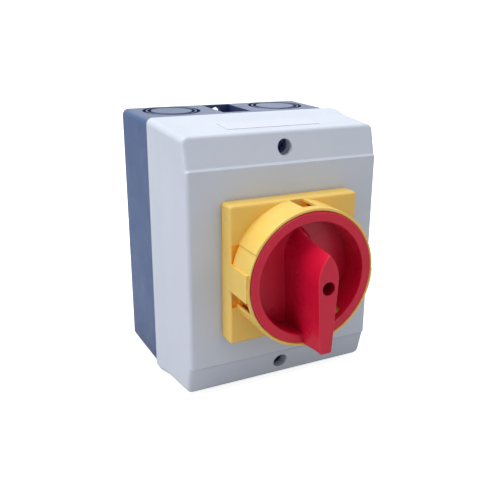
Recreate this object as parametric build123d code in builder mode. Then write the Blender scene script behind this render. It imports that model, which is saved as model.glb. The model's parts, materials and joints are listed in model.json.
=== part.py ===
"""Enclosed rotary isolator: wall box, screwed cover, padlockable handle and two-chamber cam switch.

Frame: +X to the right, +Y to the wall, +Z up. The origin is the centre of the wall face of the base.
Every depth is given as the distance forward from the wall, so it grows towards -Y.
"""
import os
from math import cos, pi, radians, sin, tan

from build123d import *

# ---- enclosure (mm) ----
BASE_W, BASE_H = 98.0, 123.0  # base outline where it meets the cover
BASE_DRAFT = 0.25  # the base is this much smaller each side at the wall
BASE_DEPTH = 39.4
WALL = 3.0
CORNER_R = 3.0
BASE_EDGE_R = 0.8
TONGUE_W, TONGUE_H = 95.4, 120.4  # stepped lip that enters the cover's rim
TONGUE_TOP = 43.4

RIM_W, RIM_H = 100.0, 125.0  # cover rim: the overall outline
RIM_BACK, RIM_SHOULDER = 39.5, 43.5
RIM_FRONT, RIM_FADE = 47.5, 57.0  # the rim slopes softly into the body of the cover up to RIM_FADE
RIM_FADE_W, RIM_FADE_H = 96.5, 121.0
SKIRT_W, SKIRT_H = 96.0, 121.0  # inside of the rim
SHELF = 45.2  # inner step of the cover that presses on the gasket
COVER_WALL = 2.6
COVER_BACK_W, COVER_BACK_H = 98.0, 123.0
COVER_FRONT_W, COVER_FRONT_H = 95.5, 118.9
COVER_FRONT = 80.0
PANEL_Z = 45.7  # half height of the raised centre panel
LEDGE = 1.0  # 45 degree step from the panel down to each end band
BAND_EDGE, BAND_EDGE_Z = 75.4, 59.75  # where an end band meets the end wall
EDGE_R = 1.8

COVER_SCREW_Z = 52.6
COVER_SCREW_HEAD_R, COVER_SCREW_HEAD_H = 3.3, 2.6
COVER_SCREW_SEAT = 68.0
COVER_BORE_R, COVER_TOWER_WALL = 3.65, 1.9
COVER_SEAL_T = 1.0
M4_SHANK_R, M4_HOLE_R = 1.95, 2.25
INSERT_R, INSERT_BORE_R, INSERT_LENGTH = 2.9, 2.0, 10.0

POCKET_HALF_W = 7.35  # fixing pocket open at the top and at the bottom of the base
POCKET_FLOOR_Z = 46.0
POCKET_BACK, POCKET_FRONT = 2.6, 29.0
POCKET_WALL = 2.2
SLOT_W, SLOT_LENGTH, SLOT_Z = 5.5, 12.0, 54.0  # wall-fixing slots

KNOCKOUT_X, KNOCKOUT_DEPTH = 28.6, 14.5
KNOCKOUT_OUTER_R, KNOCKOUT_INNER_R = 13.2, 10.8  # middle of each knockout groove
GROOVE_W, GROOVE_DEPTH = 1.7, 2.0
EARTH_X, EARTH_Z, EARTH_TOP = 30.0, -30.0, 15.0
EARTH_HALF_W, EARTH_HALF_H, EARTH_SCREW_X = 11.0, 4.5, 5.5
EARTH_HEAD_H, EARTH_HEAD_R = 2.4, 3.4
EARTH_WIRE_R, EARTH_WIRE_DEPTH = 2.4, 5.5  # wire holes, and how far under the top they lie
SCREW_GAP = 0.05  # between a screw and its bore

LABEL_HALF_W, LABEL_BACK, LABEL_FRONT, LABEL_T = 23.4, 56.0, 68.0, 0.15

# ---- yellow plate and red handle ----
PLATE = 64.0
PLATE_FRONT = 88.5
PLATE_SKIN = 2.5
PLATE_R, PLATE_EDGE_R = 1.5, 1.2
COLLAR_R, COLLAR_BORE_R, COLLAR_FRONT = 31.75, 30.55, 104.6
SIDE_BLOCK_Z = 6.2
SIDE_BLOCK_FRONTS = {-1: 104.0, 1: 96.0}  # the left block runs nearly the full height of the collar
COLLAR_STEP_R, COLLAR_STEP_TOP_Z = 31.25, 15.0  # the collar is a little smaller beside each upper pit
INNER_RING_R, INNER_RING_BORE_R, INNER_RING_FRONT = 28.55, 27.45, 102.0  # stands in the handle's groove
SIDE_PIT_TOP_Z, SIDE_WINDOW_BOTTOM_Z = 14.6, -14.3
SIDE_WINDOW_FRONT = 103.4
UPPER_PIT_FLOOR, LOWER_PIT_FLOOR = 87.3, 86.7  # pits in the plate beside the collar
PIT_SKIN, PIT_INNER_X = 0.9, 27.2
TOP_WINDOW_HALF_W, TOP_WINDOW_FRONT = 3.5, 100.6
PLATE_SCREW_XZ = 24.0
PLATE_BOSS_R, PLATE_SCREW_HOLE_R = 4.2, 2.0
PLATE_SCREW_HEAD_R, PLATE_SCREW_HEAD_H = 3.5, 2.6
PLATE_GASKET_R, PLATE_GASKET_T = 13.4, 1.2
SEAL_GAP = 0.04  # all round the shaft seal
HUB_BORE_R, HUB_RING_R = 8.7, 11.5

KNOB_R, KNOB_BACK, KNOB_FRONT = 30.2, 89.0, 105.0
DISH_R, DISH_FLOOR_R, DISH_FLOOR = 25.8, 25.2, 91.5
KNOB_WALL_R, KNOB_SKIRT_R, KNOB_GROOVE_FRONT = 27.2, 28.8, 103.0
KNOB_OPENINGS = (0.0, 145.0, 215.0)  # padlock openings, degrees clockwise from the top
KNOB_OPENING_W = 8.0  # across, and also along the radius
KNOB_OPENING_BACK, KNOB_OPENING_FRONT = 92.5, 101.5
SKIRT_NOTCHES = {0.0: 10.5, 107.5: 9.3, 252.5: 9.3}  # middle and half angle, outer skirt, open at the back
GRIP_FRONT = 117.8
GRIP_HALF_W, GRIP_TAIL_HALF_W = 5.0, 3.0
GRIP_SECTIONS = (  # forward, extra half width, shoulder Z, nose Z, tail Z
    (90.5, 2.9, 8.0, 21.2, -31.0),
    (93.5, 1.7, 6.0, 19.4, -30.9),
    (99.0, 1.15, 4.0, 17.5, -30.8),
    (106.0, 0.75, 2.8, 16.2, -30.7),
    (GRIP_FRONT, 0.0, 2.0, 15.0, -30.6),
)
GRIP_UNDERSIDE = 105.3  # the tail passes over the collar at this depth
HUB_R, HUB_BACK = 6.5, 79.2
SOCKET = 6.1
SOCKET_FRONT = 99.2
KNOB_SCREW_BORE_R, KNOB_SCREW_SEAT = 3.05, 103.0
KNOB_SCREW_HEAD_R, KNOB_SCREW_HEAD_H = 2.8, 2.2
KNOB_SCREW_HOLE_R, KNOB_SCREW_SHANK_R, KNOB_SCREW_LENGTH = 1.8, 1.45, 14.0

# ---- cam switch ----
FLANGE_HALF, FLANGE_FRONT, FLANGE_T = 29.0, 77.3, 3.0
SWITCH_HALF_W, SWITCH_HALF_H, SWITCH_CHAMFER = 27.0, 25.0, 10.0
INDEX_BACK = 64.0
INDEX_CAVITY_W, INDEX_CAVITY_H = 41.0, 33.0
CHAMBER_T = 13.0
CHAMBER_FLOOR = 1.5
CAVITY_HALF_W, CAVITY_HALF_H = 25.0, 13.0
END_PLATE_T = 4.0
TIE_X, TIE_Z = 20.5, 17.0
TIE_R, TIE_HOLE_R, TIE_HEAD_R, TIE_HEAD_H = 1.5, 1.65, 2.9, 2.2
FIN_X, FIN_T, FIN_BACK_Z, FIN_Z = 15.6, 1.6, 24.0, 31.0  # fins between the terminals
GUIDE_NEAR_X, GUIDE_FAR_X, GUIDE_NEAR_Z, GUIDE_FAR_Z = 9.8, 11.6, 2.2, 4.0  # ribs beside the plungers
TERMINAL_SCREW_R, TERMINAL_HOLE_R, TERMINAL_HEAD_R, TERMINAL_HEAD_H = 1.7, 1.75, 3.1, 2.2
SHAFT_SIZE = 6.0
JOURNAL_R, JOURNAL_BORE_R = 4.9, 4.96
END_JOURNAL_R, END_JOURNAL_BORE_R = 2.9, 2.96
CAM_HIGH_R, CONTACT_TRAVEL, CAM_T = 9.0, 2.4, 8.0
CAM_BORE = 6.06
STAR_R, STAR_T, STAR_NOTCH_R, STAR_NOTCH_AT = 12.0, 6.5, 3.2, 13.4
STAR_BACK = 65.6
STOP_R, STOP_HALF_ANGLE, STOP_GAP = 13.8, 9.0, 1.0  # stops in the housing, angles in degrees
STOP_T, STOP_H = 2.6, 1.9
STOP_ARM_W, STOP_ARM_H = 4.0, 1.4  # arm on the star wheel that meets the stops
LEAF_T, LEAF_BEND_R = 0.5, 1.6  # detent leaf springs
FOLLOWER_GAP = 0.15
BRIDGE_X, BRIDGE_T, BRIDGE_HALF_H, BRIDGE_D = 18.0, 1.2, 11.5, 6.0
TIP_T, TIP_R, TIP_Z = 1.2, 1.9, 9.3
CONTACT_GAP = 2.5
STRIP_T, STRIP_D = 1.1, 7.0
TERMINAL_X = 9.5
TAB_T = 1.2
CLAMP_GAP, CLAMP_T = 3.0, 1.2  # room for a wire between the terminal tab and its clamp
SPRING_R, SPRING_WIRE, SPRING_TURNS = 2.2, 0.55, 3.5

CHAMBER_BACKS = {"front": INDEX_BACK - CHAMBER_T, "rear": INDEX_BACK - 2 * CHAMBER_T}
END_PLATE_BACK = CHAMBER_BACKS["rear"] - END_PLATE_T
CHAMBER_MIDDLE = CHAMBER_FLOOR + (CHAMBER_T - CHAMBER_FLOOR) / 2
MIDDLES = [back + CHAMBER_MIDDLE for back in CHAMBER_BACKS.values()]
STRIP_X = BRIDGE_X - 2 * TIP_T - CONTACT_GAP - STRIP_T
CLAMP_BOTTOM = SWITCH_HALF_H + TAB_T + CLAMP_GAP
BAND_SLOPE = (COVER_FRONT - LEDGE - BAND_EDGE) / (BAND_EDGE_Z - PANEL_Z - LEDGE)
END_SLOPE = (COVER_BACK_H - COVER_FRONT_H) / 2 / (COVER_FRONT - RIM_FRONT)
LABEL_MIDDLE = (LABEL_BACK + LABEL_FRONT) / 2
LABEL_Z = COVER_BACK_H / 2 - END_SLOPE * (LABEL_MIDDLE - RIM_FRONT)
SIDES = (-1, 1)
ENDS = {"top": 1, "bottom": -1}

os.makedirs("parts", exist_ok=True)


# ---- helpers ----
def level(forward):
    """Plane facing the user, this far in front of the wall; its local x is X and local y is Z."""
    return Plane.XZ.offset(forward)


def block(x0, x1, forward0, forward1, z0, z1, mode=Mode.ADD):
    """Box between two corners."""
    with Locations(((x0 + x1) / 2, -(forward0 + forward1) / 2, (z0 + z1) / 2)):
        Box(x1 - x0, forward1 - forward0, z1 - z0, mode=mode)


def rod(x, z, radius, forward0, forward1, mode=Mode.ADD):
    """Round bar or bore parallel to the shaft."""
    with Locations((x, -(forward0 + forward1) / 2, z)):
        Cylinder(radius, forward1 - forward0, rotation=(90, 0, 0), mode=mode)


def post(x, forward, radius, z0, z1, mode=Mode.ADD):
    """Round bar or bore parallel to Z."""
    with Locations((x, -forward, (z0 + z1) / 2)):
        Cylinder(radius, z1 - z0, mode=mode)


def cross_recess(x, z, top, depth, radius):
    """Cross-shaped driver recess in a screw head that faces forward."""
    width = radius * 0.3
    block(x - width, x + width, top - depth, top, z - radius * 0.68, z + radius * 0.68, Mode.SUBTRACT)
    block(x - radius * 0.68, x + radius * 0.68, top - depth, top, z - width, z + width, Mode.SUBTRACT)


def octagon(half_w, half_h, corner):
    """Outline of the switch body: a rectangle with chamfered corners."""
    right = [(half_w, -half_h + corner), (half_w, half_h - corner), (half_w - corner, half_h)]
    left = [(corner - half_w, half_h), (-half_w, half_h - corner), (-half_w, corner - half_h)]
    bottom = [(corner - half_w, -half_h), (half_w - corner, -half_h)]
    return right + left + bottom


def save(solid, name):
    """Label one finished piece and write it."""
    solid.label = name
    export_step(solid, f"parts/{name}.step")


# ---- base box ----
with BuildPart() as base_box:
    with BuildSketch(level(0)):
        RectangleRounded(BASE_W - 2 * BASE_DRAFT, BASE_H - 2 * BASE_DRAFT, CORNER_R)
    with BuildSketch(level(BASE_DEPTH)):
        RectangleRounded(BASE_W, BASE_H, CORNER_R)
    loft()
    fillet(base_box.faces().sort_by(Axis.Y)[-1].edges(), BASE_EDGE_R)
    with BuildSketch(level(BASE_DEPTH)):
        RectangleRounded(TONGUE_W, TONGUE_H, CORNER_R - 0.6)
    extrude(amount=TONGUE_TOP - BASE_DEPTH)
    with BuildSketch(level(WALL)):
        RectangleRounded(BASE_W - 2 * WALL, BASE_H - 2 * WALL, CORNER_R - 1.2)
    extrude(amount=TONGUE_TOP, mode=Mode.SUBTRACT)
    for end in (1, -1):
        inner_z, outer_z = sorted((end * (POCKET_FLOOR_Z - POCKET_WALL), end * (BASE_H / 2 - WALL / 2)))
        side = POCKET_HALF_W + POCKET_WALL
        block(-side, side, WALL / 2, TONGUE_TOP, inner_z, outer_z)
        inner_z, outer_z = sorted((end * POCKET_FLOOR_Z, end * BASE_H))
        block(-POCKET_HALF_W, POCKET_HALF_W, POCKET_BACK, POCKET_FRONT, inner_z, outer_z, Mode.SUBTRACT)
        rod(0, end * COVER_SCREW_Z, INSERT_R, TONGUE_TOP - INSERT_LENGTH, TONGUE_TOP, Mode.SUBTRACT)
        rod(0, end * COVER_SCREW_Z, M4_HOLE_R, POCKET_FRONT - 1, TONGUE_TOP, Mode.SUBTRACT)
        with BuildSketch(Plane.XY.offset(end * (BASE_H / 2 - GROOVE_DEPTH))):
            with Locations((-KNOCKOUT_X, -KNOCKOUT_DEPTH), (KNOCKOUT_X, -KNOCKOUT_DEPTH)):
                for radius in (KNOCKOUT_OUTER_R, KNOCKOUT_INNER_R):
                    Circle(radius + GROOVE_W / 2)
                    Circle(radius - GROOVE_W / 2, mode=Mode.SUBTRACT)
        extrude(amount=end * (GROOVE_DEPTH + 1), mode=Mode.SUBTRACT)
    with BuildSketch(level(-1)):
        with Locations((0, SLOT_Z), (0, -SLOT_Z)):
            SlotOverall(SLOT_LENGTH, SLOT_W, rotation=90)
    extrude(amount=WALL + 1, mode=Mode.SUBTRACT)
save(base_box.part, "base_box")

# ---- cover gasket on the base's lip ----
with BuildPart() as cover_gasket:
    with BuildSketch(level(TONGUE_TOP)):
        RectangleRounded(TONGUE_W - 0.2, TONGUE_H - 0.2, CORNER_R - 0.8)
        inner_w, inner_h = BASE_W - 2 * WALL + 0.4, BASE_H - 2 * WALL + 0.4
        RectangleRounded(inner_w, inner_h, CORNER_R - 1.4, mode=Mode.SUBTRACT)
    extrude(amount=SHELF - TONGUE_TOP - 0.05)
save(cover_gasket.part, "cover_gasket")

# ---- threaded inserts for the cover screws ----
with BuildPart() as screw_inserts:
    for z in (COVER_SCREW_Z, -COVER_SCREW_Z):
        rod(0, z, INSERT_R, TONGUE_TOP - INSERT_LENGTH, TONGUE_TOP)
        rod(0, z, INSERT_BORE_R, TONGUE_TOP - INSERT_LENGTH, TONGUE_TOP, Mode.SUBTRACT)
save(screw_inserts.part, "screw_inserts")

# ---- earth terminal block on the base's rear wall ----
with BuildPart() as earth_terminal:
    block(EARTH_X - EARTH_HALF_W, EARTH_X + EARTH_HALF_W, WALL, EARTH_TOP,
          EARTH_Z - EARTH_HALF_H, EARTH_Z + EARTH_HALF_H)
    chamfer(earth_terminal.edges().filter_by(Axis.Y), 0.6)
    for x in (EARTH_X - EARTH_SCREW_X, EARTH_X + EARTH_SCREW_X):
        wire_at = EARTH_TOP - EARTH_WIRE_DEPTH
        post(x, wire_at, EARTH_WIRE_R, EARTH_Z - EARTH_HALF_H, EARTH_Z + EARTH_HALF_H, Mode.SUBTRACT)
        rod(x, EARTH_Z, M4_SHANK_R + SCREW_GAP, wire_at, EARTH_TOP, Mode.SUBTRACT)
save(earth_terminal.part, "earth_terminal")

with BuildPart() as earth_screws:
    for x in (EARTH_X - EARTH_SCREW_X, EARTH_X + EARTH_SCREW_X):
        rod(x, EARTH_Z, M4_SHANK_R, EARTH_TOP - EARTH_WIRE_DEPTH + 1, EARTH_TOP)
        rod(x, EARTH_Z, EARTH_HEAD_R, EARTH_TOP, EARTH_TOP + EARTH_HEAD_H)
        cross_recess(x, EARTH_Z, EARTH_TOP + EARTH_HEAD_H, EARTH_HEAD_H / 2, EARTH_HEAD_R - 0.4)
save(earth_screws.part, "earth_screws")


# ---- cover ----
def cover_form(start, inset, corner):
    """Tapered box with a raised centre panel and sloping end bands, shrunk by inset on each side."""
    top = COVER_FRONT - inset
    panel_z = PANEL_Z - inset * tan(radians(20))
    overhang = 10.0
    band_out = top - LEDGE - BAND_SLOPE * (COVER_BACK_H / 2 + overhang - panel_z - LEDGE)
    outer_z = COVER_BACK_H / 2 + overhang
    half = [(0, outer_z), (-band_out, outer_z), (LEDGE - top, panel_z + LEDGE), (-top, panel_z)]
    outline = half + [(y, -z) for y, z in reversed(half)]
    with BuildPart() as form:
        with BuildSketch(level(start)):
            RectangleRounded(COVER_BACK_W - 2 * inset, COVER_BACK_H - 2 * inset, corner)
        with BuildSketch(level(COVER_FRONT)):
            RectangleRounded(COVER_FRONT_W - 2 * inset, COVER_FRONT_H - 2 * inset, corner)
        loft()
        with BuildSketch(Plane.YZ):
            with BuildLine():
                Polyline(*outline, close=True)
            make_face()
        extrude(amount=RIM_W, both=True, mode=Mode.INTERSECT)
        if inset == 0:
            front_edges = [e for e in form.edges() if -e.center().Y > BAND_EDGE - 3 and is_outer_edge(e)]
            fillet(front_edges, EDGE_R)
    return form.part


def is_outer_edge(edge):
    """True for the edges where the front of the cover turns into its side and end walls."""
    middle = edge.center()
    return abs(middle.X) > COVER_FRONT_W / 2 - 3.5 or abs(middle.Z) > COVER_FRONT_H / 2 - 3.5


cover_outside = cover_form(RIM_FRONT, 0.0, CORNER_R)
cover_inside = cover_form(SHELF, COVER_WALL, CORNER_R - 2)
with BuildPart() as cover:
    with BuildSketch(level(RIM_BACK)):
        RectangleRounded(RIM_W, RIM_H, CORNER_R)
    extrude(amount=RIM_SHOULDER - RIM_BACK)
    with BuildSketch(level(RIM_SHOULDER)):
        RectangleRounded(RIM_W, RIM_H, CORNER_R)
    with BuildSketch(level(RIM_FADE)):
        RectangleRounded(RIM_FADE_W, RIM_FADE_H, CORNER_R)
    loft()
    add(cover_outside)
    with BuildSketch(level(RIM_BACK)):
        RectangleRounded(SKIRT_W, SKIRT_H, CORNER_R - 1)
    extrude(amount=SHELF - RIM_BACK, mode=Mode.SUBTRACT)
    add(cover_inside, mode=Mode.SUBTRACT)
    for z in (COVER_SCREW_Z, -COVER_SCREW_Z):
        rod(0, z, COVER_BORE_R + COVER_TOWER_WALL, TONGUE_TOP + 0.3, BAND_EDGE - 1)
        rod(0, z, COVER_BORE_R, COVER_SCREW_SEAT, COVER_FRONT, Mode.SUBTRACT)
        rod(0, z, M4_HOLE_R, TONGUE_TOP, COVER_SCREW_SEAT, Mode.SUBTRACT)
    rod(0, 0, HUB_BORE_R, COVER_FRONT - 2 * COVER_WALL, COVER_FRONT, Mode.SUBTRACT)
    for x in (-PLATE_SCREW_XZ, PLATE_SCREW_XZ):
        for z in (-PLATE_SCREW_XZ, PLATE_SCREW_XZ):
            rod(x, z, M4_HOLE_R, COVER_FRONT - 2 * COVER_WALL, COVER_FRONT, Mode.SUBTRACT)
save(cover.part, "cover")

with BuildPart() as cover_screws:
    for z in (COVER_SCREW_Z, -COVER_SCREW_Z):
        head = COVER_SCREW_SEAT + COVER_SEAL_T
        rod(0, z, M4_SHANK_R, TONGUE_TOP - INSERT_LENGTH + 1, head)
        rod(0, z, COVER_SCREW_HEAD_R, head, head + COVER_SCREW_HEAD_H)
        cross_recess(0, z, head + COVER_SCREW_HEAD_H, 1.5, COVER_SCREW_HEAD_R)
save(cover_screws.part, "cover_screws")

with BuildPart() as cover_screw_seals:
    for z in (COVER_SCREW_Z, -COVER_SCREW_Z):
        rod(0, z, COVER_BORE_R - 0.1, COVER_SCREW_SEAT, COVER_SCREW_SEAT + COVER_SEAL_T)
        rod(0, z, M4_SHANK_R + 0.02, COVER_SCREW_SEAT, COVER_SCREW_SEAT + COVER_SEAL_T, Mode.SUBTRACT)
save(cover_screw_seals.part, "cover_screw_seals")

# ---- plain label plate on the cover's top face ----
with BuildPart() as label_plate:
    with BuildSketch(Plane((0, -LABEL_MIDDLE, LABEL_Z), x_dir=(1, 0, 0), z_dir=(0, -END_SLOPE, 1))):
        RectangleRounded(2 * LABEL_HALF_W, LABEL_FRONT - LABEL_BACK, 0.8)
    extrude(amount=LABEL_T)
save(label_plate.part, "label_plate")

# ---- yellow front plate with its collar ----
with BuildPart() as front_plate:
    with BuildSketch(level(COVER_FRONT)):
        RectangleRounded(PLATE, PLATE, PLATE_R)
    extrude(amount=PLATE_FRONT - COVER_FRONT)
    fillet(front_plate.faces().sort_by(Axis.Y)[0].edges(), PLATE_EDGE_R)
    rod(0, 0, COLLAR_R, PLATE_FRONT - 1, COLLAR_FRONT)
    fillet(front_plate.faces().sort_by(Axis.Y)[0].edges().filter_by(GeomType.CIRCLE), 0.4)
    with BuildSketch(level(PLATE_FRONT)):
        Circle(COLLAR_R + 1)
        Circle(COLLAR_STEP_R, mode=Mode.SUBTRACT)
        with Locations((0, COLLAR_STEP_TOP_Z / 2)):
            Rectangle(PLATE + 4, COLLAR_STEP_TOP_Z, mode=Mode.INTERSECT)
    extrude(amount=COLLAR_FRONT - PLATE_FRONT, mode=Mode.SUBTRACT)
    for side, block_front in SIDE_BLOCK_FRONTS.items():
        block_x = sorted((side * PLATE / 2, side * COLLAR_BORE_R * 0.9))
        block(*block_x, COVER_FRONT, block_front, -SIDE_BLOCK_Z, SIDE_BLOCK_Z)
    rod(0, 0, COLLAR_BORE_R, PLATE_FRONT, COLLAR_FRONT, Mode.SUBTRACT)
    with BuildSketch(level(PLATE_FRONT - 1)):
        Circle(INNER_RING_R)
        Circle(INNER_RING_BORE_R, mode=Mode.SUBTRACT)
    extrude(amount=INNER_RING_FRONT - PLATE_FRONT + 1)
    with BuildSketch(level(COVER_FRONT)):
        Rectangle(PLATE - 4, PLATE - 4)
    extrude(amount=PLATE_FRONT - PLATE_SKIN - COVER_FRONT, mode=Mode.SUBTRACT)
    for x in (-PLATE_SCREW_XZ, PLATE_SCREW_XZ):
        for z in (-PLATE_SCREW_XZ, PLATE_SCREW_XZ):
            rod(x, z, PLATE_BOSS_R, COVER_FRONT, PLATE_FRONT - 1)
            rod(x, z, PLATE_SCREW_HOLE_R, COVER_FRONT, PLATE_FRONT - PLATE_SKIN + 1, Mode.SUBTRACT)
    rod(0, 0, HUB_RING_R, COVER_FRONT, PLATE_FRONT - 1)
    rod(0, 0, HUB_BORE_R, COVER_FRONT, PLATE_FRONT, Mode.SUBTRACT)
    block(-TOP_WINDOW_HALF_W, TOP_WINDOW_HALF_W, PLATE_FRONT, TOP_WINDOW_FRONT, 25, 33, Mode.SUBTRACT)
    for side in SIDES:
        pit_x = sorted((side * (PLATE / 2 - PIT_SKIN), side * PIT_INNER_X))
        pit_base = sorted((side * (PLATE / 2 - 1), side * (PIT_INNER_X - 1.5)))
        pit_z = SIDE_PIT_TOP_Z + 1.5
        block(*pit_base, COVER_FRONT, PLATE_FRONT - 1, -pit_z, pit_z)
        upper_x = sorted((side * (PLATE / 2 - PIT_SKIN), side * COLLAR_STEP_R * cos(radians(30))))
        block(*upper_x, UPPER_PIT_FLOOR, PLATE_FRONT, SIDE_BLOCK_Z, SIDE_PIT_TOP_Z, Mode.SUBTRACT)
        window_x = sorted((side * (PLATE / 2 + 1), side * (INNER_RING_R + 0.3)))
        ring_x = sorted((side * (PLATE / 2 + 1), side * 22))
        block(*pit_x, LOWER_PIT_FLOOR, PLATE_FRONT, SIDE_WINDOW_BOTTOM_Z, -SIDE_BLOCK_Z, Mode.SUBTRACT)
        block(*window_x, PLATE_FRONT, SIDE_WINDOW_FRONT, SIDE_WINDOW_BOTTOM_Z, -SIDE_BLOCK_Z, Mode.SUBTRACT)
        ring_z = (SIDE_WINDOW_BOTTOM_Z + 1.8, -SIDE_BLOCK_Z)
        block(*ring_x, PLATE_FRONT, SIDE_WINDOW_FRONT, *ring_z, Mode.SUBTRACT)
save(front_plate.part, "front_plate")

with BuildPart() as plate_gasket:
    rod(0, 0, PLATE_GASKET_R, COVER_FRONT, COVER_FRONT + PLATE_GASKET_T)
    rod(0, 0, HUB_RING_R + 0.1, COVER_FRONT, COVER_FRONT + PLATE_GASKET_T, Mode.SUBTRACT)
save(plate_gasket.part, "plate_gasket")

with BuildPart() as plate_screws:
    for x in (-PLATE_SCREW_XZ, PLATE_SCREW_XZ):
        for z in (-PLATE_SCREW_XZ, PLATE_SCREW_XZ):
            back = FLANGE_FRONT - FLANGE_T
            rod(x, z, PLATE_SCREW_HEAD_R, back - PLATE_SCREW_HEAD_H, back)
            rod(x, z, M4_SHANK_R, back, PLATE_FRONT - PLATE_SKIN)
save(plate_screws.part, "plate_screws")

with BuildPart() as shaft_seal:
    with BuildSketch(Plane.XY):
        with Locations(((HUB_R + HUB_BORE_R) / 2, -(COVER_FRONT + PLATE_FRONT) / 2)):
            Circle((HUB_BORE_R - HUB_R) / 2 - SEAL_GAP)
    revolve(axis=Axis.Y)
save(shaft_seal.part, "shaft_seal")


# ---- red handle ----
def grip_outline(forward, flare, shoulder_z, tip_z, tail_z):
    """Pointed grip section: ogive nose at the top, straight flanks tapering to the tail."""
    with BuildSketch(level(forward)) as outline:
        with BuildLine():
            flank = Line((GRIP_TAIL_HALF_W + flare, tail_z), (GRIP_HALF_W + flare, shoulder_z))
            TangentArc(flank @ 1, (0, tip_z), tangent=flank % 1)
            mirror(about=Plane.YZ)
            Line((-GRIP_TAIL_HALF_W - flare, tail_z), (GRIP_TAIL_HALF_W + flare, tail_z))
        make_face()
        fillet(outline.vertices().group_by(Axis.Y)[0], 1.0)
    return outline.sketch


with BuildPart() as grip:
    loft([grip_outline(*section) for section in GRIP_SECTIONS])
    fillet(grip.faces().sort_by(Axis.Y)[0].edges(), 0.45)
    for radius, underside in ((KNOB_WALL_R - 0.2, KNOB_GROOVE_FRONT), (KNOB_R - 1, GRIP_UNDERSIDE)):
        with BuildSketch(level(KNOB_BACK)):
            Circle(KNOB_R + 10)
            Circle(radius, mode=Mode.SUBTRACT)
        extrude(amount=underside - KNOB_BACK, mode=Mode.SUBTRACT)

with BuildPart() as knob:
    with BuildSketch(Plane.XY):
        with BuildLine():
            Polyline(
                (0, KNOB_BACK + 0.7), (KNOB_WALL_R, KNOB_BACK + 0.7), (KNOB_WALL_R, KNOB_GROOVE_FRONT),
                (KNOB_SKIRT_R, KNOB_GROOVE_FRONT), (KNOB_SKIRT_R, KNOB_BACK), (KNOB_R, KNOB_BACK),
                (KNOB_R, KNOB_FRONT), (DISH_R, KNOB_FRONT), (DISH_FLOOR_R, DISH_FLOOR), (0, DISH_FLOOR),
                close=True,
            )
        make_face()
        mirror(about=Plane.XZ, mode=Mode.REPLACE)
    revolve(axis=Axis.Y)
    fillet(knob.faces().sort_by(Axis.Y)[0].edges(), 0.5)
    for angle in KNOB_OPENINGS:
        with BuildSketch(level(KNOB_OPENING_BACK)):
            with PolarLocations(KNOB_R - 2, 1, start_angle=90 - angle):
                Rectangle(KNOB_OPENING_W, KNOB_OPENING_W)
        extrude(amount=KNOB_OPENING_FRONT - KNOB_OPENING_BACK, mode=Mode.SUBTRACT)
    for angle, half_angle in SKIRT_NOTCHES.items():
        with BuildSketch(level(KNOB_BACK)):
            with PolarLocations((KNOB_R + KNOB_SKIRT_R) / 2, 1, start_angle=90 - angle):
                Rectangle(4, 2 * KNOB_R * sin(radians(half_angle)))
            Circle(KNOB_WALL_R + 0.3, mode=Mode.SUBTRACT)
        extrude(amount=KNOB_OPENING_FRONT - KNOB_BACK, mode=Mode.SUBTRACT)
    add(grip.part)
    rod(0, 0, HUB_R, HUB_BACK, DISH_FLOOR)
    block(-SOCKET / 2, SOCKET / 2, HUB_BACK, SOCKET_FRONT, -SOCKET / 2, SOCKET / 2, Mode.SUBTRACT)
    rod(0, 0, KNOB_SCREW_BORE_R, KNOB_SCREW_SEAT, GRIP_FRONT, Mode.SUBTRACT)
    rod(0, 0, KNOB_SCREW_HOLE_R, SOCKET_FRONT, KNOB_SCREW_SEAT, Mode.SUBTRACT)
save(knob.part, "knob")

with BuildPart() as knob_screw:
    head_top = KNOB_SCREW_SEAT + KNOB_SCREW_HEAD_H
    rod(0, 0, KNOB_SCREW_HEAD_R, KNOB_SCREW_SEAT, head_top)
    cross_recess(0, 0, head_top, KNOB_SCREW_HEAD_H * 0.6, KNOB_SCREW_HEAD_R - 0.2)
    rod(0, 0, KNOB_SCREW_SHANK_R, KNOB_SCREW_SEAT - KNOB_SCREW_LENGTH, KNOB_SCREW_SEAT)
save(knob_screw.part, "knob_screw")

# ---- shaft ----
with BuildPart() as shaft:
    half = SHAFT_SIZE / 2
    block(-half, half, CHAMBER_BACKS["rear"], SOCKET_FRONT - 0.4, -half, half)
    chamfer(shaft.edges().filter_by(Axis.Y), 0.4)
    rod(0, 0, JOURNAL_R, FLANGE_FRONT - FLANGE_T, HUB_BACK - 0.4)
    rod(0, 0, END_JOURNAL_R, END_PLATE_BACK + 0.5, CHAMBER_BACKS["rear"])
    rod(0, 0, KNOB_SCREW_SHANK_R + SCREW_GAP, KNOB_SCREW_SEAT - KNOB_SCREW_LENGTH - 2, SOCKET_FRONT,
        Mode.SUBTRACT)
save(shaft.part, "shaft")

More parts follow.
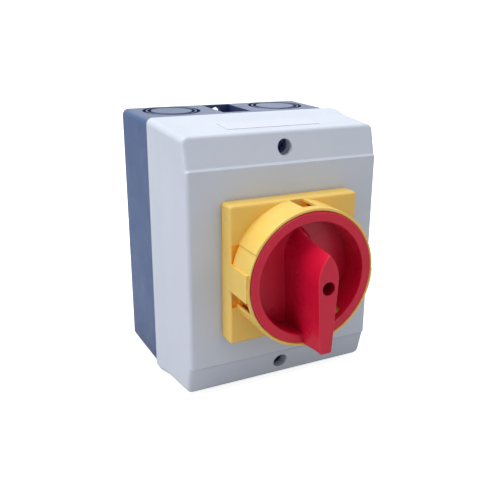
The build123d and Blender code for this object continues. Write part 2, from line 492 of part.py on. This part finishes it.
# ---- index housing, star wheel and detent springs ----
with BuildPart() as index_housing:
    flange_back = FLANGE_FRONT - FLANGE_T
    with BuildSketch(level(flange_back)):
        RectangleRounded(2 * FLANGE_HALF, 2 * FLANGE_HALF, 3)
    extrude(amount=FLANGE_T)
    with BuildSketch(level(INDEX_BACK)):
        with BuildLine():
            Polyline(*octagon(SWITCH_HALF_W, SWITCH_HALF_H, SWITCH_CHAMFER), close=True)
        make_face()
    extrude(amount=flange_back - INDEX_BACK)
    with BuildSketch(level(INDEX_BACK)):
        RectangleRounded(INDEX_CAVITY_W, INDEX_CAVITY_H, 3)
    extrude(amount=flange_back - INDEX_BACK, mode=Mode.SUBTRACT)
    for angle in (-45 - 2 * STOP_HALF_ANGLE - STOP_GAP, 45 + 2 * STOP_HALF_ANGLE + STOP_GAP):
        with BuildSketch(level(flange_back - STOP_H)):
            with PolarLocations(STOP_R, 1, start_angle=90 - angle):
                Rectangle(STOP_T, 2 * STOP_R * sin(radians(STOP_HALF_ANGLE)))
        extrude(amount=STOP_H + 0.5)
    rod(0, 0, JOURNAL_BORE_R, flange_back, FLANGE_FRONT, Mode.SUBTRACT)
    for x in (-PLATE_SCREW_XZ, PLATE_SCREW_XZ):
        for z in (-PLATE_SCREW_XZ, PLATE_SCREW_XZ):
            rod(x, z, M4_HOLE_R, flange_back, FLANGE_FRONT, Mode.SUBTRACT)
    for sign in (1, -1):
        rod(sign * TIE_X, sign * TIE_Z, TIE_R, INDEX_BACK, flange_back - 1, Mode.SUBTRACT)
save(index_housing.part, "index_housing")

with BuildPart() as star_wheel:
    with BuildSketch(level(STAR_BACK)):
        Circle(STAR_R)
        with PolarLocations(STAR_NOTCH_AT, 4):
            Circle(STAR_NOTCH_R, mode=Mode.SUBTRACT)
    extrude(amount=STAR_T)
    with BuildSketch(level(STAR_BACK + STAR_T)):
        with PolarLocations((STOP_R + 6) / 2, 1, start_angle=135):
            Rectangle(STOP_R - 5, STOP_ARM_W)
    extrude(amount=STOP_ARM_H)
    block(-CAM_BORE / 2, CAM_BORE / 2, STAR_BACK, STAR_BACK + STAR_T + 2, -CAM_BORE / 2, CAM_BORE / 2,
          Mode.SUBTRACT)
save(star_wheel.part, "star_wheel")

with BuildPart() as detent_springs:
    for side in (-1, 1):
        with BuildSketch(level(STAR_BACK + 0.4)):
            with BuildLine():
                FilletPolyline(
                    (side * 16.5, -15.0), (side * 19.3, -9.5), (side * 10.9, 0), (side * 19.3, 9.5),
                    (side * 16.5, 15.0), radius=LEAF_BEND_R,
                )
            trace(line_width=LEAF_T)
        extrude(amount=STAR_T - 0.8)
save(detent_springs.part, "detent_springs")


# ---- contact chambers and cams ----
def chamber(back):
    """Insulating tray, open to the front, with fins between the terminals and slots for the strips."""
    front = back + CHAMBER_T
    with BuildPart() as tray:
        with BuildSketch(level(back)):
            with BuildLine():
                Polyline(*octagon(SWITCH_HALF_W, SWITCH_HALF_H, SWITCH_CHAMFER), close=True)
            make_face()
        extrude(amount=CHAMBER_T)
        block(-CAVITY_HALF_W, CAVITY_HALF_W, back + CHAMBER_FLOOR, front, -CAVITY_HALF_H, CAVITY_HALF_H,
              Mode.SUBTRACT)
        rod(0, 0, 5.0, back, front, Mode.SUBTRACT)
        for end in (1, -1):
            for x in (-FIN_X, 0, FIN_X):
                block(x - FIN_T / 2, x + FIN_T / 2, back, front, *sorted((end * FIN_BACK_Z, end * FIN_Z)))
            for side in (1, -1):
                guide = sorted((side * GUIDE_NEAR_X, side * GUIDE_FAR_X))
                block(*guide, back + 1, front - 1, *sorted((end * GUIDE_NEAR_Z, end * GUIDE_FAR_Z)))
                strip = sorted((side * (STRIP_X - 0.15), side * (STRIP_X + STRIP_T + 0.15)))
                middle = back + CHAMBER_MIDDLE
                block(*strip, middle - 3.65, front, *sorted((end * 12, end * 26)), Mode.SUBTRACT)
                hole = sorted((end * 18, end * 26))
                post(side * TERMINAL_X, middle, TERMINAL_HOLE_R, *hole, Mode.SUBTRACT)
        for sign in (1, -1):
            rod(sign * TIE_X, sign * TIE_Z, TIE_HOLE_R, back, front, Mode.SUBTRACT)
    return tray.part


def lobe_quarter():
    """Quarter of the cam outline: the radius falls evenly from the lobe at X to the flat at Z."""
    steps = 8
    angles = [step * pi / 2 / steps for step in range(steps + 1)]
    radii = [CAM_HIGH_R - CONTACT_TRAVEL * angle / (pi / 2) for angle in angles]
    return [(r * cos(a), r * sin(a)) for r, a in zip(radii, angles)]


def cam(back):
    """Two-lobed cam, open at rest and closed a quarter turn later."""
    bottom = back + CHAMBER_MIDDLE - CAM_T / 2
    with BuildPart() as disc:
        with BuildSketch(level(bottom)):
            with BuildLine():
                Spline(*lobe_quarter())
                mirror(about=Plane.YZ)
                mirror(about=Plane.XZ)
            make_face()
            Rectangle(CAM_BORE, CAM_BORE, mode=Mode.SUBTRACT)
        extrude(amount=CAM_T)
    return disc.part


for name, back in CHAMBER_BACKS.items():
    save(chamber(back), f"chamber_{name}")
    save(cam(back), f"cam_{name}")

# ---- fixed contacts, terminals and their screws, one per pole end ----
for end_name, end in ENDS.items():
    with BuildPart() as terminals:
        for middle in MIDDLES:
            for side in SIDES:
                depth = (middle - STRIP_D / 2, middle + STRIP_D / 2)
                strip = sorted((side * STRIP_X, side * (STRIP_X + STRIP_T)))
                tab = sorted((side * (TERMINAL_X - 3.4), side * (STRIP_X + STRIP_T)))
                tab_z = sorted((end * SWITCH_HALF_H, end * (SWITCH_HALF_H + TAB_T)))
                block(*strip, *depth, *sorted((end * 7.4, end * (SWITCH_HALF_H + TAB_T))))
                block(*tab, *depth, *tab_z)
                post(side * TERMINAL_X, middle, TERMINAL_HOLE_R, *tab_z, Mode.SUBTRACT)
    save(terminals.part, f"terminals_{end_name}")

with BuildPart() as fixed_contact_tips:
    for middle in MIDDLES:
        for side in SIDES:
            for end in ENDS.values():
                centre = side * (STRIP_X + STRIP_T + TIP_T / 2)
                with Locations((centre, -middle, end * TIP_Z)):
                    Cylinder(TIP_R, TIP_T, rotation=(0, 90, 0))
save(fixed_contact_tips.part, "fixed_contact_tips")

with BuildPart() as terminal_clamps:
    for middle in MIDDLES:
        for x in (-TERMINAL_X, TERMINAL_X):
            for end in ENDS.values():
                span = sorted((end * CLAMP_BOTTOM, end * (CLAMP_BOTTOM + CLAMP_T)))
                block(x - 3.3, x + 3.3, middle - 3.5, middle + 3.5, *span)
                post(x, middle, TERMINAL_HOLE_R + SCREW_GAP, *span, Mode.SUBTRACT)
save(terminal_clamps.part, "terminal_clamps")

with BuildPart() as terminal_screws:
    head = CLAMP_BOTTOM + CLAMP_T
    for middle in MIDDLES:
        for x in (-TERMINAL_X, TERMINAL_X):
            for end in ENDS.values():
                post(x, middle, TERMINAL_SCREW_R, *sorted((end * 19, end * head)))
                post(x, middle, TERMINAL_HEAD_R, *sorted((end * head, end * (head + TERMINAL_HEAD_H))))
                slot = sorted((end * (head + TERMINAL_HEAD_H / 2), end * (head + TERMINAL_HEAD_H)))
                block(x - 4, x + 4, middle - 0.4, middle + 0.4, *slot, Mode.SUBTRACT)
save(terminal_screws.part, "terminal_screws")

# ---- moving contacts: bridges, tips and plungers on each side of the shaft ----
for side_name, side in {"left": -1, "right": 1}.items():
    with BuildPart() as bridges:
        for middle in MIDDLES:
            span = sorted((side * BRIDGE_X, side * (BRIDGE_X + BRIDGE_T)))
            depth = (middle - BRIDGE_D / 2, middle + BRIDGE_D / 2)
            block(*span, *depth, -BRIDGE_HALF_H, BRIDGE_HALF_H)
    save(bridges.part, f"bridges_{side_name}")

    with BuildPart() as bridge_tips:
        for middle in MIDDLES:
            for z in (-TIP_Z, TIP_Z):
                with Locations((side * (BRIDGE_X - TIP_T / 2), -middle, z)):
                    Cylinder(TIP_R, TIP_T, rotation=(0, 90, 0))
    save(bridge_tips.part, f"bridge_tips_{side_name}")

    with BuildPart() as plungers:
        for middle in MIDDLES:
            nose = side * (CAM_HIGH_R + FOLLOWER_GAP + 2.0)
            block(*sorted((nose, side * BRIDGE_X)), middle - 3, middle + 3, -2.0, 2.0)
            with Locations((nose, -middle, 0)):
                Cylinder(2.0, 6.0, rotation=(90, 0, 0))
    save(plungers.part, f"plungers_{side_name}")

    with BuildPart() as contact_springs:
        length = CAVITY_HALF_W - BRIDGE_X - BRIDGE_T - SPRING_WIRE
        for middle in MIDDLES:
            start = (side * (BRIDGE_X + BRIDGE_T + SPRING_WIRE / 2), -middle, 0)
            with BuildLine():
                coil = Helix(length / SPRING_TURNS, length, SPRING_R, center=start, direction=(side, 0, 0))
            with BuildSketch(Plane(coil @ 0, z_dir=coil % 0)):
                Circle(SPRING_WIRE / 2)
            sweep(path=coil, is_frenet=True)
    save(contact_springs.part, f"contact_springs_{side_name}")

# ---- rear end plate and the long bolts that hold the stack together ----
with BuildPart() as end_plate:
    with BuildSketch(level(END_PLATE_BACK)):
        with BuildLine():
            Polyline(*octagon(SWITCH_HALF_W, SWITCH_HALF_H, SWITCH_CHAMFER), close=True)
        make_face()
    extrude(amount=END_PLATE_T)
    rod(0, 0, END_JOURNAL_BORE_R, END_PLATE_BACK, CHAMBER_BACKS["rear"], Mode.SUBTRACT)
    for sign in (1, -1):
        rod(sign * TIE_X, sign * TIE_Z, TIE_HOLE_R, END_PLATE_BACK, CHAMBER_BACKS["rear"], Mode.SUBTRACT)
save(end_plate.part, "end_plate")

with BuildPart() as tie_bolts:
    for sign in (1, -1):
        rod(sign * TIE_X, sign * TIE_Z, TIE_R, END_PLATE_BACK, INDEX_BACK + 8)
        rod(sign * TIE_X, sign * TIE_Z, TIE_HEAD_R, END_PLATE_BACK - TIE_HEAD_H, END_PLATE_BACK)
save(tie_bolts.part, "tie_bolts")
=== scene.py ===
"""Looks for the enclosed rotary isolator: materials, studio and camera."""
import json
import math

import bpy
from mathutils import Matrix, Vector


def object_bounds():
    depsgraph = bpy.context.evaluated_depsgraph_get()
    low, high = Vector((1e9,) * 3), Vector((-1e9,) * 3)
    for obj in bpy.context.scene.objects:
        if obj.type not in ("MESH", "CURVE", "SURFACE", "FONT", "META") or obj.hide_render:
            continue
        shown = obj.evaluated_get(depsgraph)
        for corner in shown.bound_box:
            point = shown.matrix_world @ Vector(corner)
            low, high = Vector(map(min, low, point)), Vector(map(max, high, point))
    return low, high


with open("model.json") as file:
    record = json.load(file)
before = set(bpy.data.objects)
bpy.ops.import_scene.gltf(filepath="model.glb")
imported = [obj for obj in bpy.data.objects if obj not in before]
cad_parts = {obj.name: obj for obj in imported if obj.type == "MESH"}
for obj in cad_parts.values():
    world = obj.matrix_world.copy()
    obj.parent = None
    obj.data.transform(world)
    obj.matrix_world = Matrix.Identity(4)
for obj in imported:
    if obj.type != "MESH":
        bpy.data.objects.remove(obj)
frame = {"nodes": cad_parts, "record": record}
cad_box = [list(corner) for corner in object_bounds()]
NODES = frame["nodes"]
MM = 0.001

# ---- camera ----
CAMERA_PLACE = (-0.15572, -0.35375, 0.11370)
CAMERA_AZIMUTH, CAMERA_ELEVATION, CAMERA_ROLL = -0.5247, 0.3595, 0.0270  # radians
CAMERA_LENS, CAMERA_SENSOR = 54.26, 36.0  # millimetres
CAMERA_SHIFT_X, CAMERA_SHIFT_Y = -0.1042, 0.0646  # parts of the frame

# ---- studio ----
FLOOR_RADIUS = 4.0
FLOOR_DARK, FLOOR_PALE = (0.46, 0.46, 0.47), (0.50, 0.50, 0.50)
FLOOR_LIFT = 0.86  # light that the floor adds for the camera alone
SURROUND, BACKDROP = 0.58, 1.1  # how bright the surroundings are to the object, and to the camera
SKY_TINT = (0.965, 0.985, 1.05, 1.0)
LIGHTS = {  # place and size in metres, power in watts; each one faces the origin
    "top_light": ((-0.30, 0.12, 1.0), 0.8, 10.2),
    "left_light": ((-1.1, -0.10, 0.30), 0.7, 2.9),
    "back_light": ((0.75, 1.0, 0.48), 0.8, 1.0),
    "front_light": ((0.35, -1.15, 0.35), 0.9, 1.5),
}

# ---- surface settings shared by the materials ----
EDGE_FLAT, EDGE_SHARP = 0.995, 0.9  # cosine between true and rounded normal: no edge, and full edge
WORN_SHEEN = 0.12  # how much smoother a worn edge is
GLOW_DEPTH = 2.5 * MM
# painted sheen: pale colour on top faces, standing in for the bright surroundings reflected there
TOP_SHEEN = (0.40, 0.38, 0.34)
TOP_SHEEN_FROM, TOP_SHEEN_FULL = 0.6, 0.95  # upward part of the normal where the painted sheen on top faces begins, and where it is full


# ---- node helpers ----
class Graph:
    """A material's node tree with short calls for the nodes used here."""

    def __init__(self, name):
        self.material = bpy.data.materials.new(name)
        self.material.use_nodes = True
        self.tree = self.material.node_tree
        self.tree.nodes.clear()
        self.output = self.tree.nodes.new("ShaderNodeOutputMaterial")
        self.shader = self.tree.nodes.new("ShaderNodeBsdfPrincipled")
        self.tree.links.new(self.shader.outputs[0], self.output.inputs["Surface"])
        self.where = self.tree.nodes.new("ShaderNodeTexCoord").outputs["Object"]

    def link(self, source, target):
        self.tree.links.new(source, target)

    def node(self, kind, **values):
        """Adds a node; a value is set on a socket of that name, or on the node itself."""
        made = self.tree.nodes.new("ShaderNode" + kind)
        for key, value in values.items():
            label = key.replace("_", " ")
            if label in made.inputs:
                made.inputs[label].default_value = value
            else:
                setattr(made, key, value)
        return made

    def setting(self, socket, value):
        """Sets a value that is the same all over the surface on the shader's own socket."""
        self.shader.inputs[socket].default_value = value

    def feed(self, source, socket):
        """Feeds one of the shader's sockets with a pattern."""
        self.link(source, self.shader.inputs[socket])

    def noise(self, scale, detail=2.0, roughness=0.5, stretch=None):
        """Noise over the object, scale in cycles per metre; stretch squeezes it along the axes."""
        source = self.where
        if stretch:
            mapping = self.node("Mapping")
            mapping.inputs["Scale"].default_value = stretch
            self.link(source, mapping.inputs["Vector"])
            source = mapping.outputs[0]
        made = self.node("TexNoise", Scale=scale, Detail=detail, Roughness=roughness)
        self.link(source, made.inputs["Vector"])
        return made.outputs["Fac"]

    def remap(self, source, low, high, to_low, to_high):
        """Maps low to to_low and high to to_high, held at both ends."""
        made = self.node("MapRange")
        for socket, value in zip(("From Min", "From Max", "To Min", "To Max"), (low, high, to_low, to_high)):
            made.inputs[socket].default_value = value
        self.link(source, made.inputs["Value"])
        return made.outputs[0]

    def maths(self, operation, first, second):
        """One Math node; first and second are numbers or sockets."""
        made = self.node("Math", operation=operation)
        for socket, value in zip(made.inputs, (first, second)):
            if isinstance(value, (int, float)):
                socket.default_value = value
            else:
                self.link(value, socket)
        return made.outputs[0]

    def mix(self, amount, first, second):
        """Colour mix; first and second are colours or sockets."""
        made = self.node("Mix", data_type="RGBA")
        self.link(amount, made.inputs["Factor"])
        for socket, value in ((made.inputs[6], first), (made.inputs[7], second)):
            if isinstance(value, (tuple, list)):
                socket.default_value = (*value[:3], 1.0)
            else:
                self.link(value, socket)
        return made.outputs[2]

    def edges(self, radius):
        """(rounded normal, mask that is 1 along convex and concave edges)."""
        bevel = self.node("Bevel", samples=4)
        bevel.inputs["Radius"].default_value = radius
        geometry = self.node("NewGeometry")
        dot = self.node("VectorMath", operation="DOT_PRODUCT")
        self.link(bevel.outputs[0], dot.inputs[0])
        self.link(geometry.outputs["Normal"], dot.inputs[1])
        return bevel.outputs[0], self.remap(dot.outputs["Value"], EDGE_FLAT, EDGE_SHARP, 0.0, 1.0)

    def bump(self, layers, normal=None):
        """Stacks bump layers given as (height socket, distance in metres)."""
        for height, distance in layers:
            made = self.node("Bump", Strength=1.0, Distance=distance)
            self.link(height, made.inputs["Height"])
            if normal is not None:
                self.link(normal, made.inputs["Normal"])
            normal = made.outputs[0]
        self.feed(normal, "Normal")


def shade(colour, factor):
    """The colour, lighter or darker by a factor."""
    return tuple(min(1.0, channel * factor) for channel in colour)


# ---- materials ----
def painted_top_sheen(g, surface, clouds, sheen_amount):
    """Lays a painted sheen on what faces up: a pale colour that stands in for the bright surroundings
    reflected there, stronger and weaker in clouds.
    """
    facing = g.node("SeparateXYZ")
    g.link(g.node("NewGeometry").outputs["Normal"], facing.inputs[0])
    sheen_here = g.remap(facing.outputs["Z"], TOP_SHEEN_FROM, TOP_SHEEN_FULL, 0.0, sheen_amount)
    patchy = g.remap(clouds, 0.3, 0.7, 0.85, 1.1)
    return g.mix(g.maths("MULTIPLY", sheen_here, patchy), surface, TOP_SHEEN)


def painted_crevice_shade_and_glow(g, surface, painted_crevice_colour, reach, hidden_range, painted_glow):
    """Paints the recess colour into occluded places: painted shade where that colour is darker, painted glow
    where it is warmer and brighter; the emission amount adds a painted glow there as well.
    """
    # painted shade and glow: occlusion picks the recesses that take the painted colour
    hidden = g.node("AmbientOcclusion", samples=4, Distance=reach * MM).outputs["AO"]
    hidden = g.remap(hidden, *hidden_range, 0.0, 1.0)
    if painted_glow:
        # painted glow: emission from the plastic in occluded places, though it is no lamp
        g.setting("Emission Color", (*painted_crevice_colour, 1.0))
        g.feed(g.maths("MULTIPLY", hidden, painted_glow), "Emission Strength")
    return g.mix(hidden, surface, painted_crevice_colour)


def moulded_plastic(name, colour, roughness, grain=0.012, edge=0.35, worn=1.18, blotch=0.06, glow=0.0,
                    depth=(1.0, 0.5, 0.2), painted_crevice_colour=None, reach=6.0, hidden_range=(0.85, 0.3), painted_glow=0.0,
                    gloss=0.5, sheen_amount=0.0):
    """Injection-moulded plastic: flow clouds, spark-eroded grain, worn edges, a painted sheen on what faces
    up, and painted shade in recesses that becomes a painted glow where the recess colour is brighter.

    grain, edge and reach are in millimetres, and hidden_range says how open a place is where the painted
    recess shade starts and where it is full.
    """
    g = Graph(name)
    clouds = g.noise(scale=38, detail=3)
    flow = g.noise(scale=11, detail=2, stretch=(1.0, 0.5, 0.35))
    tint = g.mix(g.remap(clouds, 0.3, 0.7, 0.0, 1.0), shade(colour, 1 - blotch), shade(colour, 1 + blotch))
    tint = g.mix(g.remap(flow, 0.35, 0.65, 0.0, 0.35), tint, shade(colour, 1 - blotch / 2))
    rounded, mask = g.edges(edge * MM)
    patches = g.remap(g.noise(scale=420, detail=4), 0.42, 0.62, 0.0, 0.7)
    worn_here = g.maths("MULTIPLY", mask, patches)
    surface = g.mix(worn_here, tint, shade(colour, worn))
    # painted sheen: a pale colour on faces that point up, standing in for reflected light
    if sheen_amount:
        surface = painted_top_sheen(g, surface, clouds, sheen_amount)
    if painted_crevice_colour:
        surface = painted_crevice_shade_and_glow(g, surface, painted_crevice_colour, reach, hidden_range, painted_glow)
    g.feed(surface, "Base Color")
    if glow:
        g.setting("Subsurface Weight", glow)
        g.setting("Subsurface Radius", depth)
        g.setting("Subsurface Scale", GLOW_DEPTH)
    g.setting("Specular IOR Level", gloss)
    smudges = g.remap(g.noise(scale=90, detail=4), 0.3, 0.75, roughness - 0.05, roughness + 0.07)
    g.feed(g.maths("SUBTRACT", smudges, g.maths("MULTIPLY", worn_here, WORN_SHEEN)), "Roughness")
    ripples = g.noise(scale=70, detail=1)
    grain_height = g.noise(scale=3600, detail=2, roughness=0.6)
    g.bump([(ripples, 0.06 * MM), (grain_height, grain * MM)], rounded)
    return g.material


def turned_metal(name, colour, roughness, tarnish):
    """Plated or turned metal: drawn scratches, tarnish in patches, brighter rubbed edges."""
    g = Graph(name)
    patches = g.noise(scale=260, detail=5)
    tint = g.mix(g.remap(patches, 0.38, 0.68, 0.0, 1.0), colour, tarnish)
    rounded, mask = g.edges(0.12 * MM)
    rubbed = g.maths("MULTIPLY", mask, g.remap(g.noise(scale=900), 0.4, 0.6, 0.2, 0.8))
    g.feed(g.mix(rubbed, tint, shade(colour, 1.25)), "Base Color")
    g.setting("Metallic", 1.0)
    lines = g.noise(scale=1500, detail=3, stretch=(1.0, 9.0, 1.0))
    g.feed(g.remap(lines, 0.3, 0.7, roughness - 0.08, roughness + 0.12), "Roughness")
    g.bump([(lines, 0.008 * MM), (patches, 0.01 * MM)], rounded)
    return g.material


def sealing_rubber(name, colour):
    """Foamed rubber: dull, with open pores and a dusty bloom."""
    g = Graph(name)
    bloom = g.noise(scale=180, detail=4)
    g.feed(g.mix(g.remap(bloom, 0.4, 0.75, 0.0, 0.6), colour, shade(colour, 2.2)), "Base Color")
    pores = g.node("TexVoronoi", Scale=2600.0)
    g.link(g.where, pores.inputs["Vector"])
    g.feed(g.remap(bloom, 0.3, 0.7, 0.72, 0.92), "Roughness")
    g.bump([(pores.outputs["Distance"], 0.06 * MM)])
    return g.material


def fibre_filled(name, colour):
    """Dark glass-filled moulding: matt, with short pale fibres just under the skin."""
    g = Graph(name)
    fibres = g.noise(scale=1500, detail=3, stretch=(1.0, 0.22, 1.0))
    clouds = g.noise(scale=120, detail=3)
    tint = g.mix(g.remap(clouds, 0.3, 0.7, 0.0, 1.0), shade(colour, 0.85), shade(colour, 1.25))
    tint = g.mix(g.remap(fibres, 0.6, 0.75, 0.0, 0.6), tint, shade(colour, 3.0))
    rounded, mask = g.edges(0.2 * MM)
    g.feed(g.mix(g.maths("MULTIPLY", mask, 0.5), tint, shade(colour, 2.0)), "Base Color")
    g.feed(g.remap(clouds, 0.3, 0.7, 0.42, 0.58), "Roughness")
    g.bump([(fibres, 0.02 * MM)], rounded)
    return g.material


PLASTICS = {
    # painted shade: dark navy in the base's recesses and grooves; painted sheen on its top faces
    "base_plastic": dict(colour=(0.027, 0.076, 0.207), roughness=0.44, grain=0.02, blotch=0.07,
                         painted_crevice_colour=(0.002, 0.008, 0.08), reach=24.0, hidden_range=(0.82, 0.42),
                         gloss=1.0, sheen_amount=0.17),
    # painted shade: dark blue in the cover's recesses and screw holes
    "cover_plastic": dict(colour=(0.548, 0.588, 0.662), roughness=0.40, grain=0.01, worn=1.10, blotch=0.025,
                          painted_crevice_colour=(0.035, 0.06, 0.19), reach=4.0, hidden_range=(0.5, 0.15)),
    # painted glow: warmer orange and emission in the yellow plate's openings and pits
    "yellow_plastic": dict(colour=(0.79, 0.540, 0.125), roughness=0.36, grain=0.006, worn=1.12, blotch=0.05,
                           glow=0.35, depth=(1.0, 0.42, 0.06), painted_crevice_colour=(0.96, 0.43, 0.008),
                           hidden_range=(0.62, 0.18), painted_glow=0.13),
    # painted shade: darker red in the knob's dish and recesses
    "red_plastic": dict(colour=(0.61, 0.0045, 0.036), roughness=0.30, grain=0.004, worn=1.3, blotch=0.08,
                        glow=0.12, depth=(1.0, 0.04, 0.06), painted_crevice_colour=(0.40, 0.001, 0.018), reach=12.0),
    "label_plastic": dict(colour=(0.555, 0.592, 0.660), roughness=0.32, grain=0.003, blotch=0.02),
    "cam_plastic": dict(colour=(0.62, 0.60, 0.52), roughness=0.38, grain=0.004, blotch=0.05),
}
METALS = {
    "zinc_steel": dict(colour=(0.52, 0.56, 0.62), roughness=0.32, tarnish=(0.36, 0.39, 0.42)),
    # dark navy: partly the plating's own colour, partly painted shade of the deep holes the cover screws sit
    # in
    "black_zinc": dict(colour=(0.075, 0.11, 0.24), roughness=0.34, tarnish=(0.04, 0.06, 0.14)),
    "spring_steel": dict(colour=(0.50, 0.50, 0.51), roughness=0.30, tarnish=(0.36, 0.36, 0.37)),
    "brass": dict(colour=(0.80, 0.58, 0.27), roughness=0.30, tarnish=(0.55, 0.36, 0.17)),
    "silver_tip": dict(colour=(0.80, 0.79, 0.76), roughness=0.24, tarnish=(0.62, 0.58, 0.52)),
}
MATERIALS = {name: moulded_plastic(name, **look) for name, look in PLASTICS.items()}
MATERIALS |= {name: turned_metal(name, **look) for name, look in METALS.items()}
MATERIALS["switch_plastic"] = fibre_filled("switch_plastic", (0.035, 0.037, 0.04))
MATERIALS["gasket_rubber"] = sealing_rubber("gasket_rubber", (0.022, 0.022, 0.024))
NODE_SLOTS = {row["node"]: row["material_slot"] for row in frame["record"]["subparts"]}


def dress(piece, slot_name):
    """Gives a piece the material of its slot."""
    piece.data.materials.clear()
    piece.data.materials.append(MATERIALS[slot_name])


# ---- studio and camera, made ----
def area_light(name, place, size, power):
    """Soft square light that faces the origin."""
    data = bpy.data.lights.new(name, "AREA")
    data.size = size
    data.energy = power
    lamp = bpy.data.objects.new(name, data)
    lamp.location = place
    lamp.rotation_euler = (-Vector(place)).to_track_quat("-Z", "Y").to_euler()
    bpy.context.scene.collection.objects.link(lamp)


def white_floor(low_z):
    """Pale floor under the object, lifted towards white where the camera sees it."""
    bpy.ops.mesh.primitive_circle_add(vertices=96, radius=FLOOR_RADIUS, fill_type="NGON",
                                      location=(0, 0, low_z))
    floor = bpy.context.object
    floor.name = "studio_floor"
    g = Graph("studio_floor")
    g.feed(g.mix(g.noise(scale=3), FLOOR_DARK, FLOOR_PALE), "Base Color")
    g.setting("Roughness", 0.7)
    g.setting("Emission Color", (1.0, 1.0, 1.0, 1.0))
    seen = g.node("LightPath").outputs["Is Camera Ray"]
    g.feed(g.maths("MULTIPLY", seen, FLOOR_LIFT), "Emission Strength")
    floor.data.materials.append(g.material)


def surroundings():
    """Even light from all round, white behind the object."""
    world = bpy.data.worlds.new("studio_world")
    bpy.context.scene.world = world
    world.use_nodes = True
    tree = world.node_tree
    background = tree.nodes["Background"]
    background.inputs["Color"].default_value = SKY_TINT
    brightness = tree.nodes.new("ShaderNodeMapRange")
    brightness.inputs["To Min"].default_value = SURROUND
    brightness.inputs["To Max"].default_value = BACKDROP
    seen = tree.nodes.new("ShaderNodeLightPath").outputs["Is Camera Ray"]
    tree.links.new(seen, brightness.inputs["Value"])
    tree.links.new(brightness.outputs[0], background.inputs["Strength"])


def camera():
    """Three-quarter view from the upper left, set by its angles and its place in the frame."""
    flat = math.cos(CAMERA_ELEVATION)
    back = Vector((math.sin(CAMERA_AZIMUTH) * flat, -math.cos(CAMERA_AZIMUTH) * flat,
                   math.sin(CAMERA_ELEVATION)))
    right = (-back).cross(Vector((0, 0, 1))).normalized()
    up = right.cross(-back)
    tilted_right = right * math.cos(CAMERA_ROLL) + up * math.sin(CAMERA_ROLL)
    tilted_up = up * math.cos(CAMERA_ROLL) - right * math.sin(CAMERA_ROLL)
    data = bpy.data.cameras.new("view_camera")
    data.sensor_width = CAMERA_SENSOR
    data.lens = CAMERA_LENS
    data.shift_x = CAMERA_SHIFT_X
    data.shift_y = CAMERA_SHIFT_Y
    data.clip_start = 0.01
    seen_from = bpy.data.objects.new("view_camera", data)
    turned = Matrix((tilted_right, tilted_up, back)).transposed().to_4x4()
    seen_from.matrix_world = Matrix.Translation(CAMERA_PLACE) @ turned
    bpy.context.scene.collection.objects.link(seen_from)
    bpy.context.scene.camera = seen_from


for node_name, node in NODES.items():
    dress(node, NODE_SLOTS[node_name])
white_floor(low_z=cad_box[0][2])
surroundings()
for light_name, (light_place, light_size, light_power) in LIGHTS.items():
    area_light(light_name, light_place, light_size, light_power)
camera()
bpy.context.scene.view_settings.view_transform = "Standard"
